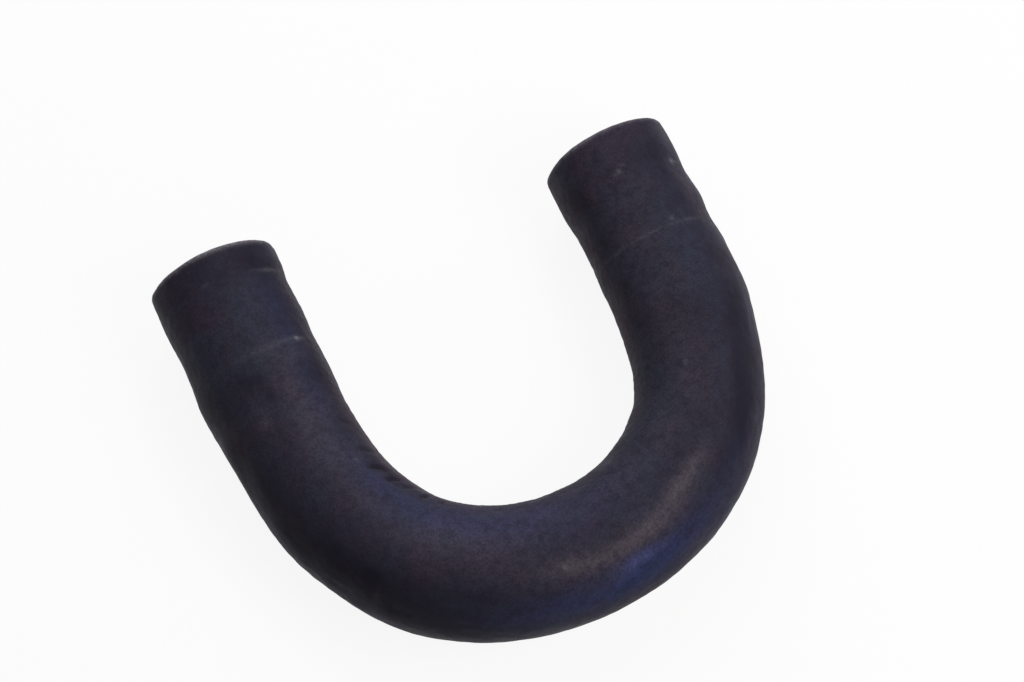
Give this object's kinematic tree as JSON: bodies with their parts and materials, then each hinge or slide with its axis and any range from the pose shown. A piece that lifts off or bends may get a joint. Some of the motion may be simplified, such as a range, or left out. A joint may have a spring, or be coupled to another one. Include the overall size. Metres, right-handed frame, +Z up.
{
  "type": "coolant hose",
  "caption": "Moulded U-shaped rubber coolant hose for a car engine, open at both ends, lying flat on its side.",
  "frame": {"origin": "middle of the bounding box, on the surface that the hose lies on", "axes": "+Z up, square to the plane of the U; both legs run along +Y to their open mouths; mouth A, on the longer leg, is at -X and mouth B is at +X"},
  "size_m": [0.1844, 0.163, 0.0452],
  "materials": {
    "rubber": "matt black cured rubber with a faint sheen, a fine grain and a bluish bloom in places"
  },
  "bodies": {
    "root": {"hose": "rubber"}
  },
  "joints": []
}
